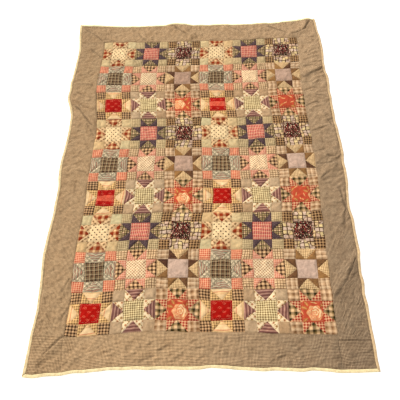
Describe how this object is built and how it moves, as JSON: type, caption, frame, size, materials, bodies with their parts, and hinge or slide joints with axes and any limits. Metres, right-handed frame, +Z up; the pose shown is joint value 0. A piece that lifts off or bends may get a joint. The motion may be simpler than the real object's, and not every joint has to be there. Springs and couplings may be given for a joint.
{
  "type": "patchwork quilt",
  "caption": "Patchwork bed quilt of star blocks in mixed printed, checked and striped cottons, with a plain border and a folded cream binding, laid out flat with soft folds.",
  "frame": {"origin": "on the surface that the quilt lies on, under the middle of its outline", "axes": "+X across the quilt to its right side, +Y along it to its head end, +Z up out of its patchwork face"},
  "size_m": [1.5648, 2.1836, 0.0183],
  "materials": {
    "patchwork_cotton": "washed printed cotton, matte",
    "border_cotton": "fine woven brown and grey cotton, matte",
    "binding_cotton": "plain cream cotton, matte"
  },
  "bodies": {
    "root": {"patchwork_panel": "patchwork_cotton", "border_head": "border_cotton", "border_foot": "border_cotton", "border_left": "border_cotton", "border_right": "border_cotton", "corner_head_left": "border_cotton", "corner_head_right": "border_cotton", "corner_foot_left": "border_cotton", "corner_foot_right": "border_cotton", "binding_head": "binding_cotton", "binding_foot": "binding_cotton", "binding_left": "binding_cotton", "binding_right": "binding_cotton"}
  },
  "joints": []
}
